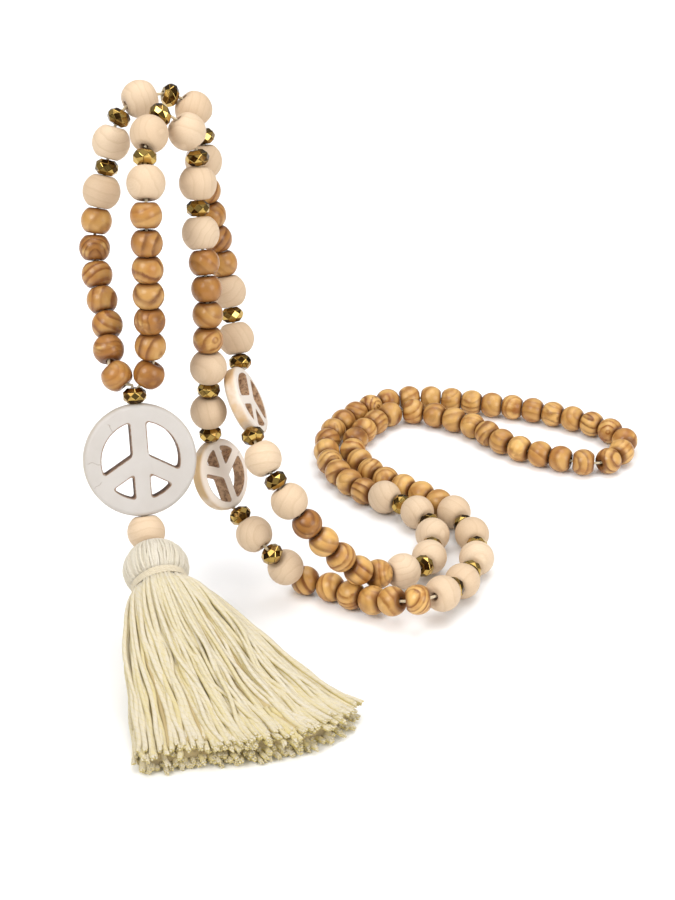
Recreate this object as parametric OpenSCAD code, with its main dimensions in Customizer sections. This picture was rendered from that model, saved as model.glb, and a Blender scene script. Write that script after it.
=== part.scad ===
// Long necklace of wooden beads with three pierced peace-sign discs and a thread tassel.
// It hangs doubled over one point and its lower half lies on the floor, as it is displayed.
// Millimetres, +Z up. The origin is the hang point, under the thread at the top of the fold.

/* [Wooden beads] */
// Width of a pine bead across its bore
pine_w = 8.3; // [7.2:0.1:8.3]
// Length of a pine bead along its bore
pine_l = 6.7; // [6:0.1:6.9]
// Width of a natural bead across its bore
natural_w = 10.1; // [9:0.1:10.1]
// Length of a natural bead along its bore
natural_l = 8.5; // [8:0.1:9]
// Bore of the wooden beads
wood_bore = 2.2; // [2:0.1:3]

/* [Gold beads] */
// Width of a gold rondelle between opposite corners
gold_w = 6.5; // [5.4:0.1:6.8]
// Length of a gold rondelle along its bore
gold_l = 4.1; // [3.4:0.1:4.4]
// Bore of a gold rondelle
gold_bore = 1.6; // [1.2:0.1:2]
// Width of the spacer bead over the pendant disc
spacer_w = 6.6; // [5.6:0.1:7]
// Length of the spacer bead along its bore
spacer_l = 4.1; // [3.6:0.1:4.4]
// Width of the flat table at each end of a gold bead, as a share of its width
table_share = 0.58; // [0.5:0.01:0.64]

/* [Side discs] */
// Diameter of a side disc
side_disc_d = 20; // [18:0.5:21]
// Thickness of a side disc
side_disc_t = 3.8; // [3.2:0.1:4.6]
// Width of a side disc's rim
side_rim = 2.2; // [1.9:0.1:3]
// Width of a side disc's spokes
side_spoke = 2.6; // [2.2:0.1:3.2]
// Bore of a side disc, along its upright spoke
side_bore = 1.3; // [1:0.1:1.5]

/* [Pendant disc] */
// Diameter of the pendant disc
pendant_d = 30; // [26:0.5:30]
// Thickness of the pendant disc
pendant_t = 4.2; // [3.6:0.1:5]
// Width of the pendant disc's rim
pendant_rim = 4.6; // [3.8:0.1:5.4]
// Width of the pendant disc's spokes
pendant_spoke = 4.4; // [3.6:0.1:5]
// Bore of the pendant pieces, which carry two threads
pendant_bore = 2.2; // [2:0.1:2.4]
// Angle between each slanting spoke and the lower spoke
spoke_angle = 60; // [45:1:65]
// Corner radius of the pierced openings
hole_corner = 0.7; // [0.3:0.1:1]
// Rounding of the discs' outer edges
disc_edge = 1.2; // [0.6:0.1:1.5]

/* [Tassel] */
// Diameter of the tassel's head
head_d = 17.5; // [16:0.1:18.5]
// Diameter of the neck under the binding
neck_d = 13.8; // [12:0.1:14.6]
// Width of the binding along the tassel
binding_w = 2.6; // [2:0.1:3]
// Thickness of the binding thread
binding_t = 0.65; // [0.5:0.05:0.8]
// Length of the skirt from the binding to the tips in its middle
skirt_l = 52.6; // [47:0.2:57]
// Thickness of the skirt's lying end
skirt_t = 8.6; // [7:0.1:9]
// Angle over which the skirt fans out
fan_angle = 76; // [60:1:80]
// Depth of the grooves between locks, as a share of the thickness
lock_depth = 0.16; // [0.06:0.01:0.2]

/* [Thread] */
// Diameter of the thread
thread_d = 0.8; // [0.6:0.1:1]
// Clearance between pieces that follow each other
gap = 0.1; // [0.1:0.05:0.2]
// Bare thread at each place where a little of it shows between two beads
bare = 1; // [0.6:0.1:1.2]

/* [Hidden] */
// Height of the hang point over the floor
hang_h = 128;
floor_z = -hang_h;

// Bead kinds in the runs: P pine, N natural, G gold, D side disc, a dot for bare thread.
// Each run starts at the pendant. The left one climbs first, the right one climbs in front.
left_run = "PPPPPPPNGNGN.GNGNPPPPNGNGDGNGNPPPPPNGNGNGNGN";
right_run = "PPPPPPPNGNG.NGNGNPPPPNGNGDGNGNPPPPPPNGNGNGNGN";

// Route of the string, from the pendant up the left side, over the hang point, down behind,
// round the floor and back up in front to the pendant.
route = [
    [-9.95, -33.1, -60.5], [-13.25, -32.3, -58.2], [-16.1, -22, -49], [-20, -9, -31],
    [-17, -3, -14], [-10, 4, 4], [0, 9, 5], [6, 10, 1], [9, 6, -20], [13, 4, -40],
    [19, -11, -71], [22, -28, -78], [43, -39, -107], [54, -35, -118], [59, -31, -120],
    [68, -27, -121], [72, -14, -123], [71, 5, -123], [64, 13, -123], [51, 25, -124],
    [42, 44, -124], [42, 57, -124], [57, 81, -124], [61, 84, -124], [100, 81, -124],
    [104, 80, -124], [137, 50, -124], [135, 47, -124], [132, 43, -124], [104, 50, -124],
    [85, 70, -124], [64, 76, -124], [60, 72, -124], [50, 48, -124], [55, 36, -124],
    [78, 12, -124], [85, -18, -123], [81, -29, -123], [67, -48, -118], [51, -38, -124],
    [36, -29, -124], [26, -34, -111], [16, -24, -102], [10, -20, -82], [10, -19, -64],
    [10, -15, -41], [8, -8, -22], [6, -3, -2], [0, -4, 4], [-4, -13, 0], [-4, -22, -10],
    [-4, -29, -36], [-4, -31, -49], [-4.55, -32.3, -57.7], [-7.45, -33.1, -60.5]
];
route_n = len(route);
route_h = [for (i = [0:route_n - 2]) norm(route[i + 1] - route[i])];
route_d = [for (i = [0:route_n - 2]) (route[i + 1] - route[i]) / route_h[i]];
route_s = [for (i = 0, s = 0; i < route_n; s = s + (i < route_n - 1 ? route_h[i] : 0), i = i + 1) s];
route_m = [
    for (i = [0:route_n - 1])
        i == 0 ? route_d[0]
        : i == route_n - 1 ? route_d[route_n - 2]
        : (route_h[i - 1] * route_d[i] + route_h[i] * route_d[i - 1]) / (route_h[i - 1] + route_h[i])
];
route_end = route_s[route_n - 1];

function unit(v) = v / norm(v);
function leaning(lean, heading) = [sin(lean) * cos(heading), sin(lean) * sin(heading), -cos(lean)];

// Point and direction of the route at the distance t along it.
function on_route(t) =
    let (
        i = max(0, min(route_n - 2, len([for (s = route_s) if (s <= t) 1]) - 1)),
        f = (t - route_s[i]) / route_h[i],
        a = 2 * f * f * f - 3 * f * f + 1,
        b = (f * f * f - 2 * f * f + f) * route_h[i],
        c = 3 * f * f - 2 * f * f * f,
        e = (f * f * f - f * f) * route_h[i],
        da = 6 * f * f - 6 * f,
        db = (3 * f * f - 4 * f + 1) * route_h[i],
        de = (3 * f * f - 2 * f) * route_h[i]
    )
    [
        a * route[i] + b * route_m[i] + c * route[i + 1] + e * route_m[i + 1],
        unit(da * route[i] + db * route_m[i] - da * route[i + 1] + de * route_m[i + 1])
    ];

// Width, length and end flat of each kind of bead.
function wide(k) = k == "P" ? pine_w : k == "N" ? natural_w : k == "G" ? gold_w : side_disc_d;
function long(k) = k == "P" ? pine_l : k == "N" ? natural_l : k == "G" ? gold_l : side_disc_d;
function flat(k) =
    k == "G" ? gold_w * table_share / 2
    : k == "D" ? side_disc_t / 4
    : sqrt(wide(k) * wide(k) - long(k) * long(k)) / 2;

// Point of the route for a bead: a wooden bead that would sink into the floor rests on it.
function rested(t, k) =
    let (
        p = on_route(t)[0],
        low = k == "P" || k == "N" ? floor_z + wide(k) / 2 : floor_z
    )
    [p.x, p.y, max(p.z, low)];

// Place and direction of a bead: its bore follows the string between its two neighbours.
function place(t, k) =
    let (h = max(0.5, min((long(k) + pine_l) / 2 + gap, t, route_end - t)))
    [rested(t, k), unit(rested(t + h, k) - rested(t - h, k))];

// How far a bead reaches along a line at an angle of cosine c to its bore.
function reach(k, c) =
    let (s = sqrt(max(0, 1 - c * c)), a = long(k) / 2)
    (k == "P" || k == "N") && s * a > flat(k) * c ? wide(k) / 2 : a * c + flat(k) * s;

// Space left between a bead at t0 and one at t1.
function apart(t0, k0, t1, k1) =
    let (
        p0 = k0 == "" ? on_route(t0) : place(t0, k0),
        p1 = place(t1, k1),
        d = p1[0] - p0[0],
        u = norm(d) > 0 ? unit(d) : p0[1]
    )
    norm(d) - (k0 == "" ? 0 : reach(k0, abs(u * p0[1]))) - reach(k1, abs(u * p1[1]));

// Distance along the route at which the next bead is just clear, found by halving.
function next_t(t0, k0, k1, room, way, lo = 0, hi = 32, n = 20) =
    n == 0 ? t0 + way * hi
    : apart(t0, k0, t0 + way * (lo + hi) / 2, k1) < room
        ? next_t(t0, k0, k1, room, way, (lo + hi) / 2, hi, n - 1)
        : next_t(t0, k0, k1, room, way, lo, (lo + hi) / 2, n - 1);

// Beads of a run as [distance, kind].
function run(seq, way, i, t, k, spare) =
    i == len(seq) ? []
    : seq[i] == "." ? run(seq, way, i + 1, t, k, spare + bare)
    : let (t1 = next_t(t, k, seq[i], gap + spare, way))
        concat([[t1, seq[i]]], run(seq, way, i + 1, t1, seq[i], 0));

// Distances of pine beads that follow the bead at t: as many as fit before end_t.
function fill(t, k, end_t) =
    let (t1 = next_t(t, k, "P", gap, 1))
    next_t(t1, "P", "N", gap, 1) > end_t ? [] : concat([t1], fill(t1, "P", end_t));

// The same for n beads with the given room between them.
function chain(t, k, n, room) =
    n == 0 ? [] : let (t1 = next_t(t, k, "P", room, 1)) concat([t1], chain(t1, "P", n - 1, room));

left_beads = run(left_run, 1, 0, 0, "", 0);
right_beads = run(right_run, -1, 0, route_end, "", 0);
left_t = left_beads[len(left_beads) - 1][0];
right_t = right_beads[len(right_beads) - 1][0];
back_n = len(fill(left_t, "N", right_t));

// Room at which the back beads just fill the string, found by halving.
function even_room(lo, hi, n) =
    let (mid = (lo + hi) / 2, c = chain(left_t, "N", back_n, mid))
    n == 0 ? lo
    : next_t(c[back_n - 1], "P", "N", mid, 1) > right_t ? even_room(lo, mid, n - 1) : even_room(mid, hi, n - 1);

back_beads = [for (t = chain(left_t, "N", back_n, even_room(gap, gap + 0.4, 9))) [t, "P"]];
half_back = floor(len(back_beads) / 2);

// All beads in the order of the string as [kind, place, direction, side].
function full(list, side) = [for (b = list) let (p = place(b[0], b[1])) [b[1], p[0], p[1], side]];
beads = concat(
    full(left_beads, "left"),
    full([for (i = [0:1:half_back - 1]) back_beads[i]], "left"),
    full([for (i = [half_back:1:len(back_beads) - 1]) back_beads[i]], "right"),
    full([for (i = [len(right_beads) - 1:-1:0]) right_beads[i]], "right")
);
bead_n = len(beads);

// Pendant: pieces hung in line under the route's ends.
spacer_at = [-8.5, -34, -63.2];
disc_down = leaning(20, -79);
disc_at = spacer_at + (spacer_l / 2 + gap + pendant_d / 2) * disc_down;
bead_down = leaning(26, -77);
tassel_bead_at = disc_at + (pendant_d / 2 + gap + 0.2) * disc_down + natural_l / 2 * bead_down;
tassel_out = leaning(67, -73);
head_top = 6.4;
head_at = tassel_bead_at + (natural_w / 2 + gap + head_top) * tassel_out;
disc_face = [sin(14), -cos(14), 0];
side_face_front = [0.763, -0.464, 0.453];
side_face_back = [0.9, -0.1, 0.43];

// Tassel: frame of the head and stations along it.
head_side = unit([-tassel_out.y, tassel_out.x, 0]);
head_up = cross(tassel_out, head_side);
neck_from = 4.9;
neck_to = neck_from + binding_w + 2 * gap;
lock_n = 24;
ring_n = 4 * lock_n;
// Radius of the head at stations along it, as shares of its top length and radius.
// Columns: station, radius, lobe depth.
head_shape = [
    [-1, 0.26, 0], [-0.95, 0.42, 0.01], [-0.78, 0.64, 0.02], [-0.5, 0.84, 0.03],
    [-0.15, 0.97, 0.035], [0.2, 1, 0.035], [0.5, 0.95, 0.03], [0.7, 0.87, 0.02]
];
skirt_steps = 13;
// Heading of the fan's middle, and how far it reaches at shares of its half width.
fan_mid = -59.5;
// Sideways spread of the outer strands as they leave the binding.
flare = 0.5;
// Columns: share of the half width, reach as a share of the skirt's length.
fan_reach = [
    [-1, 0.86], [-0.8, 0.9], [-0.4, 0.87], [0, 0.94], [0.3, 1.02], [0.6, 1.07], [0.85, 1.09], [1, 1.05]
];

// Thread: half the distance between the two threads in the pendant pieces.
thread_off = thread_d / 2 + 0.05;
thread_n = 6;

// Sets a piece drawn along +Z at p with its Z axis along v and its X axis nearest to face.
module along(p, v, face = [0, 0, 1]) {
    tilt = acos(v.z);
    turn = atan2(v.y, v.x);
    ex = [cos(tilt) * cos(turn), cos(tilt) * sin(turn), -sin(tilt)];
    ey = [-sin(turn), cos(turn), 0];
    translate(p)
        rotate([0, tilt, turn])
            rotate([0, 0, atan2(face * ey, face * ex)])
                children();
}

module round_bead(w, l, bore) {
    rotate_extrude($fn = 32)
        intersection() {
            circle(d = w);
            translate([bore / 2, -l / 2])
                square([w, l]);
        }
}

// Cut rondelle: two tables, a crown on each side and eight upright faces round the middle.
module rondelle(w, l, bore) {
    sides = 8;
    step = 360 / sides;
    table = w * table_share / 2;
    girdle = w / 2 * cos(step / 2);
    rise = l * 0.26;
    points = concat(
        [for (i = [0:sides - 1]) [table * cos(i * step), table * sin(i * step), -l / 2]],
        [for (i = [0:sides - 1]) [girdle * cos(i * step), girdle * sin(i * step), -rise]],
        [for (i = [0:sides - 1]) [w / 2 * cos((i + 0.5) * step), w / 2 * sin((i + 0.5) * step), 0]],
        [for (i = [0:sides - 1]) [girdle * cos(i * step), girdle * sin(i * step), rise]],
        [for (i = [0:sides - 1]) [table * cos(i * step), table * sin(i * step), l / 2]]
    );
    faces = concat(
        [[for (i = [0:sides - 1]) i]],
        [for (i = [0:sides - 1]) let (j = (i + 1) % sides) [i, sides + i, sides + j, j]],
        [for (i = [0:sides - 1]) let (j = (i + 1) % sides) [sides + i, 2 * sides + i, sides + j]],
        [
            for (i = [0:sides - 1])
                let (h = (i + sides - 1) % sides)
                [sides + i, 2 * sides + h, 3 * sides + i, 2 * sides + i]
        ],
        [for (i = [0:sides - 1]) let (j = (i + 1) % sides) [3 * sides + i, 3 * sides + j, 2 * sides + i]],
        [
            for (i = [0:sides - 1])
                let (j = (i + 1) % sides)
                [3 * sides + i, 4 * sides + i, 4 * sides + j, 3 * sides + j]
        ],
        [[for (i = [sides - 1:-1:0]) 4 * sides + i]]
    );
    difference() {
        polyhedron(points = points, faces = faces);
        cylinder(d = bore, h = l + 2, center = true, $fn = 24);
    }
}

function arc(c, r, from, to, n) =
    [for (i = [0:n]) let (a = from + (to - from) * i / n) c + r * [cos(a), sin(a)]];

// Outline of an opening between the spokes at the angles a0 and a1, with rounded corners.
function opening(r, spoke, a0, a1, corner, n) =
    let (
        b = spoke / 2 + corner,
        lean = asin(b / (r - corner)),
        far = b / sin((a1 - a0) / 2),
        mid = (a0 + a1) / 2,
        c0 = (r - corner) * [cos(a0 + lean), sin(a0 + lean)],
        c1 = (r - corner) * [cos(a1 - lean), sin(a1 - lean)],
        ci = far * [cos(mid), sin(mid)]
    )
    concat(
        arc(c0, corner, a0 - 90, a0 + lean, 4),
        [for (i = [1:n - 1]) let (a = a0 + lean + (a1 - a0 - 2 * lean) * i / n) r * [cos(a), sin(a)]],
        arc(c1, corner, a1 - lean, a1 + 90, 4),
        arc(ci, corner, a1 + 90, a0 + 270, 4)
    );

// Disc with a peace sign cut through it, face to +X, sign upright to +Z, bored along Z.
module peace_disc(d, t, rim, spoke, bore) {
    inner = d / 2 - rim;
    difference() {
        rotate([90, 0, 90])
            difference() {
                rotate_extrude($fn = 96)
                    union() {
                        translate([0, -t / 2])
                            square([d / 2 - disc_edge, t]);
                        translate([0, disc_edge - t / 2])
                            square([d / 2, t - 2 * disc_edge]);
                        for (s = [-1, 1])
                            translate([d / 2 - disc_edge, s * (t / 2 - disc_edge)])
                                circle(r = disc_edge, $fn = 32);
                    }
                for (s = [0, 1])
                    mirror([s, 0, 0])
                        linear_extrude(height = t + 2, center = true) {
                            polygon(opening(inner, spoke, -90 + spoke_angle, 90, hole_corner, 14));
                            polygon(opening(inner, spoke, -90, -90 + spoke_angle, hole_corner, 6));
                        }
            }
        cylinder(d = bore, h = d + 2, center = true, $fn = 24);
    }
}

// Bead of the string that is the side disc of the given run.
function disc_bead(side) = [for (b = beads) if (b[0] == "D" && b[3] == side) b][0];

module run_beads(k, side) {
    for (b = beads)
        if (b[0] == k && b[3] == side)
            along(b[1], b[2])
                children();
}

// Point of the head: s along it, radius r, angle a round it.
function head_point(s, r, a) = head_at + s * tassel_out + r * (cos(a) * head_side + sin(a) * head_up);

// Groove between locks: 1 in the groove, 0 on the lock.
function groove(a) = (1 + cos(lock_n * a)) / 2;

// Point of the skirt: f from 0 at the neck to 1 at the tips, angle a round it.
function skirt_point(f, a) =
    let (
        m = min(1, f * 1.6),
        even = a <= 180 ? 1 - a / 90 : a / 90 - 3,
        u0 = (1 - m) * cos(a) + m * even,
        n = 2 + 3 * m,
        v0 = (a <= 180 ? 1 : -1) * pow(max(0, 1 - pow(abs(u0), n)), 1 / n),
        deep = lock_depth * min(1, 3 * f) * groove(a),
        u = u0 * (1 - 0.3 * deep),
        v = v0 * (1 - deep * (v0 < 0 ? 0.5 : 1)),
        heading = fan_mid + fan_angle / 2 * u,
        thick = skirt_t / 2 * (1 - 0.2 * u0 * u0),
        out = [cos(heading), sin(heading), 0],
        p0 = head_at + neck_to * tassel_out + neck_d / 2 * (u * head_side + v * head_up),
        tip = head_at + neck_to * tassel_out + skirt_l * lookup(u, fan_reach) * out,
        p3 = [tip.x, tip.y, floor_z + thick * (1 + v)],
        aim = unit(p3 - p0),
        w = 0.35 + 0.65 * abs(u),
        p1 = p0 + skirt_l * 0.3 * unit((1 - w) * tassel_out + w * aim + flare * u * head_side),
        lie = unit([p3.x - p0.x, p3.y - p0.y, -0.04]),
        p2 = p3 - skirt_l * 0.3 * lie,
        g = 1 - f
    )
    g * g * g * p0 + 3 * g * g * f * p1 + 3 * g * f * f * p2 + f * f * f * p3;

module tassel_body() {
    rows = concat(
        [
            for (h = head_shape)
                [
                    for (i = [0:ring_n - 1])
                        let (a = i * 360 / ring_n)
                        head_point(
                            h[0] * head_top, head_d / 2 * h[1] * (1 - h[2] * groove(a)), a
                        )
                ]
        ],
        [
            for (s = [neck_from, neck_to])
                [for (i = [0:ring_n - 1]) head_point(s, neck_d / 2, i * 360 / ring_n)]
        ],
        [
            for (j = [1:skirt_steps])
                [for (i = [0:ring_n - 1]) skirt_point(j / skirt_steps, i * 360 / ring_n)]
        ]
    );
    row_n = len(rows);
    last = (row_n - 1) * ring_n;
    points = [for (r = rows) for (p = r) p];
    faces = concat(
        [[for (i = [0:ring_n - 1]) i]],
        [
            for (j = [0:row_n - 2])
                for (i = [0:ring_n - 1])
                    let (k = (i + 1) % ring_n, a = j * ring_n)
                    [a + i, a + ring_n + i, a + k]
        ],
        [
            for (j = [0:row_n - 2])
                for (i = [0:ring_n - 1])
                    let (k = (i + 1) % ring_n, a = j * ring_n)
                    [a + k, a + ring_n + i, a + ring_n + k]
        ],
        [for (i = [1:ring_n / 2 - 1]) [last + i, last + ring_n - i, last + i + 1]],
        [
            for (i = [0:ring_n / 2 - 2])
                [last + i + 1, last + (ring_n - i) % ring_n, last + ring_n - i - 1]
        ]
    );
    difference() {
        polyhedron(points = points, faces = faces);
        along(tassel_bead_at, bead_down)
            cylinder(d = pendant_bore, h = 12, $fn = 24);
    }
}

// Points that the thread passes: into and out of each bead, and down through the pendant.
// The two ends lie side by side in the pendant pieces.
function pendant_path(s) =
    let (
        off = s * thread_off * unit(cross(disc_down, disc_face))
    )
    [
        [tassel_bead_at + 11 * bead_down + off, -bead_down],
        [tassel_bead_at - natural_l / 2 * bead_down + off, -bead_down],
        [disc_at + pendant_d / 2 * disc_down + off, -disc_down],
        [disc_at - pendant_d / 2 * disc_down + off, -disc_down],
        [spacer_at - (spacer_l / 2 + thread_d) * disc_down + off, -disc_down]
    ];

// Middle of a bead's end: s is -1 where the thread goes in and 1 where it comes out.
function bead_end(b, s) = b[1] + s * long(b[0]) / 2 * b[2];

// Place of the thread in a bead's end: drawn to one side of the bore by the next piece at q.
function drawn(b, s, q) =
    let (
        p = bead_end(b, s),
        v = q - p - ((q - p) * b[2]) * b[2],
        bore = b[0] == "G" ? gold_bore : b[0] == "D" ? side_bore : wood_bore,
        room = max(0, (bore - thread_d) / 2 - 0.3)
    )
    [p + v * min(0.5, room / max(norm(v), 0.001)), b[2]];

function bead_path(i) =
    let (
        before = i == 0 ? route[0] : bead_end(beads[i - 1], 1),
        after = i == bead_n - 1 ? route[route_n - 1] : bead_end(beads[i + 1], -1)
    )
    [drawn(beads[i], -1, before), drawn(beads[i], 1, after)];

function turned(path) = [for (i = [len(path) - 1:-1:0]) [path[i][0], -path[i][1]]];

thread_path = concat(
    pendant_path(1),
    [for (i = [0:bead_n - 1]) for (q = bead_path(i)) q],
    turned(pendant_path(-1))
);

module string_thread() {
    n = len(thread_path);
    normals = [
        for (
            i = 0, v = unit(cross(thread_path[0][1], [0, 0, 1]));
            i < n;
            i = i + 1,
            v = i < n ? unit(v - (v * thread_path[i][1]) * thread_path[i][1]) : v
        )
            v
    ];
    points = [
        for (i = [0:n - 1])
            let (d = thread_path[i][1], v = normals[i], w = cross(d, v))
                for (k = [0:thread_n - 1])
                    let (a = k * 360 / thread_n)
                    thread_path[i][0] + thread_d / 2 * (cos(a) * v + sin(a) * w)
    ];
    faces = concat(
        [[for (k = [0:thread_n - 1]) k]],
        [
            for (i = [0:n - 2])
                for (k = [0:thread_n - 1])
                    let (j = (k + 1) % thread_n, a = i * thread_n)
                    [a + k, a + thread_n + k, a + j]
        ],
        [
            for (i = [0:n - 2])
                for (k = [0:thread_n - 1])
                    let (j = (k + 1) % thread_n, a = i * thread_n)
                    [a + j, a + thread_n + k, a + thread_n + j]
        ],
        [[for (k = [thread_n - 1:-1:0]) (n - 1) * thread_n + k]]
    );
    polyhedron(points = points, faces = faces);
}

module pendant_disc() {
    color([0.88, 0.86, 0.83])
        along(disc_at, -disc_down, disc_face)
            peace_disc(pendant_d, pendant_t, pendant_rim, pendant_spoke, pendant_bore);
}

module side_disc_front() {
    b = disc_bead("right");
    color([0.88, 0.85, 0.8])
        along(b[1], -b[2], side_face_front)
            peace_disc(side_disc_d, side_disc_t, side_rim, side_spoke, side_bore);
}

module side_disc_back() {
    b = disc_bead("left");
    color([0.88, 0.85, 0.8])
        along(b[1], -b[2], side_face_back)
            peace_disc(side_disc_d, side_disc_t, side_rim, side_spoke, side_bore);
}

module pendant_spacer() {
    color([0.55, 0.42, 0.16])
        along(spacer_at, disc_down)
            rondelle(spacer_w, spacer_l, pendant_bore);
}

module tassel_bead() {
    color([0.9, 0.81, 0.7])
        along(tassel_bead_at, bead_down)
            round_bead(natural_w, natural_l, wood_bore);
}

module tassel() {
    color([0.92, 0.89, 0.78])
        tassel_body();
}

// Binding: turns of thread laid side by side round the neck.
module tassel_binding() {
    turns = 4;
    pitch = (binding_w - binding_t) / (turns - 1);
    r = neck_d / 2 + gap + binding_t / 2;
    color([0.93, 0.88, 0.74])
        along(head_at + (neck_from + gap + binding_w / 2) * tassel_out, tassel_out)
            rotate_extrude($fn = 64)
                union() {
                    translate([neck_d / 2 + gap, -(binding_w - binding_t) / 2])
                        square([binding_t / 2, binding_w - binding_t]);
                    for (i = [0:turns - 1])
                        translate([r, i * pitch - (binding_w - binding_t) / 2])
                            circle(d = binding_t, $fn = 16);
                }
}

module pine_beads_left() {
    color([0.8, 0.6, 0.38])
        run_beads("P", "left")
            round_bead(pine_w, pine_l, wood_bore);
}

module pine_beads_right() {
    color([0.8, 0.6, 0.38])
        run_beads("P", "right")
            round_bead(pine_w, pine_l, wood_bore);
}

module natural_beads_left() {
    color([0.9, 0.82, 0.72])
        run_beads("N", "left")
            round_bead(natural_w, natural_l, wood_bore);
}

module natural_beads_right() {
    color([0.9, 0.82, 0.72])
        run_beads("N", "right")
            round_bead(natural_w, natural_l, wood_bore);
}

module gold_beads_left() {
    color([0.55, 0.42, 0.16])
        run_beads("G", "left")
            rondelle(gold_w, gold_l, gold_bore);
}

module gold_beads_right() {
    color([0.55, 0.42, 0.16])
        run_beads("G", "right")
            rondelle(gold_w, gold_l, gold_bore);
}

module thread() {
    color([0.85, 0.78, 0.65])
        string_thread();
}

pendant_disc();
side_disc_front();
side_disc_back();
pendant_spacer();
tassel_bead();
tassel();
tassel_binding();
pine_beads_left();
pine_beads_right();
natural_beads_left();
natural_beads_right();
gold_beads_left();
gold_beads_right();
thread();
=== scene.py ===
import math

import bpy
import numpy as np
from mathutils import Matrix, Vector


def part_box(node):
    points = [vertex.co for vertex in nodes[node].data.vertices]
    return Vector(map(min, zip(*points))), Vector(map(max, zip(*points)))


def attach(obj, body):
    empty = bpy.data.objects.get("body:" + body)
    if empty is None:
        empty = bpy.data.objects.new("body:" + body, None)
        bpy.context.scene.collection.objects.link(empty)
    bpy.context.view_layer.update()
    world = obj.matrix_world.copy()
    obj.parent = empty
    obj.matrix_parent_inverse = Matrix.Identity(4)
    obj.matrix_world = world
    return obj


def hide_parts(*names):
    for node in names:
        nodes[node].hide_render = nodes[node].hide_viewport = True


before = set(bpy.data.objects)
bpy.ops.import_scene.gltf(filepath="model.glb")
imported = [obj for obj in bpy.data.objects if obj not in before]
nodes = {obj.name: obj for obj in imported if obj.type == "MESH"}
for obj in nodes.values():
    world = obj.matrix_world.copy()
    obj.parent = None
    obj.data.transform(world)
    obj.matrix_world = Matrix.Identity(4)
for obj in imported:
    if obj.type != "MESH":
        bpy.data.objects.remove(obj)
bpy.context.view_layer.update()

MM = 0.001
MICRONS_IN_METRE = 1e6
SEED = 20
UP = np.array([0.0, 0.0, 1.0])
SIDEWAYS = np.array([1.0, 0.0, 0.0])
FLOOR_Z = -128 * MM
rng = np.random.default_rng(SEED)

# Wooden beads: width and length as in the solids, and a bore that just clears the thread.
# Ring is how far apart the grain's rings are, pith how many rings away the tree's middle is.
# Hanging and lying are how dark the beads are, from and to, where they hang and where they lie.
PINE = {
    "width": 8.3 * MM,
    "length": 6.7 * MM,
    "bore": 2.1 * MM,
    "ring": (1.2 * MM, 3.0 * MM),
    "pith": (0.4, 8),
    "hanging": (0.5, 1.0),
    "lying": (0.0, 0.45),
}
NATURAL = {
    "width": 10.1 * MM,
    "length": 8.5 * MM,
    "bore": 2.1 * MM,
    "ring": (1.6 * MM, 3.2 * MM),
    "pith": (3, 9),
    "hanging": (0.0, 1.0),
    "lying": (0.0, 1.0),
}
TASSEL_BEAD = dict(NATURAL, ring=(1.8 * MM, 2.2 * MM), pith=(4, 6))
LYING_Z = FLOOR_Z + 28 * MM
BEAD_EDGE = 0.45 * MM
BORE_EDGE = 0.2 * MM
BEAD_SIDES = 40
BALL_ROWS = 19
BORE_ROWS = 5

# Tassel: the solid's own values. The head is a table of height and radius as shares of its own,
# and the reach says how far the tips go at each place across the fan.
GAP = 0.1 * MM
TASSEL_LEAN = 67
TASSEL_HEADING = -73
HEAD_TOP = 6.4 * MM
HEAD_D = 17.5 * MM
NECK_D = 13.8 * MM
NECK_FROM = 4.9 * MM
BINDING_W = 2.6 * MM
BINDING_T = 0.65 * MM
NECK_TO = NECK_FROM + BINDING_W + 2 * GAP
SKIRT_L = 52.6 * MM
SKIRT_T = 8.6 * MM
FAN_MID = -59.5
FAN_ANGLE = 76
FLARE = 0.5
LOCK_N = 24
LOCK_DEPTH = 0.16
HEAD_SHARE = [-1, -0.95, -0.78, -0.5, -0.15, 0.2, 0.5, 0.7]
HEAD_RADIUS = [0.26, 0.42, 0.64, 0.84, 0.97, 1, 0.95, 0.87]
REACH_AT = [-1, -0.8, -0.4, 0, 0.3, 0.6, 0.85, 1]
REACH = [0.86, 0.9, 0.87, 0.94, 1.02, 1.07, 1.09, 1.05]

# How the skirt's round section at the neck becomes the flat one at its tips
FLATTENING = 1.6
ROUND_POWER = 2
FLAT_POWER = 5
LOCK_START = 3
LOCK_ACROSS = 0.3
LOCK_UNDER = 0.5
THIN_SIDES = 0.2
STRAIGHT_MIDDLE = 0.35
HANDLE = 0.3 * SKIRT_L
TIP_DROP = 0.04 * MM


def leaning(lean, heading):
    """Direction that leans from straight down towards a heading, both in degrees."""
    a, b = math.radians(lean), math.radians(heading)
    return np.array([math.sin(a) * math.cos(b), math.sin(a) * math.sin(b), -math.cos(a)])


def unit(v):
    """Vectors of length one, along the last axis."""
    tiny = 1e-12
    return v / np.maximum(np.linalg.norm(v, axis=-1, keepdims=True), tiny)


def beside(tangent):
    """A level and an upward direction square to each tangent."""
    side = unit(np.cross(tangent, UP))
    return side, np.cross(side, tangent)


def way_along(lines):
    """Distance of each point from the start of its line; the last two axes are points and places."""
    steps = np.linalg.norm(np.diff(lines, axis=-2), axis=-1)
    return np.concatenate([np.zeros_like(steps[..., :1]), np.cumsum(steps, axis=-1)], -1)


def middle(node):
    """Middle of a node's box."""
    low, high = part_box(node)
    return (np.array(low) + np.array(high)) / 2


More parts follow.
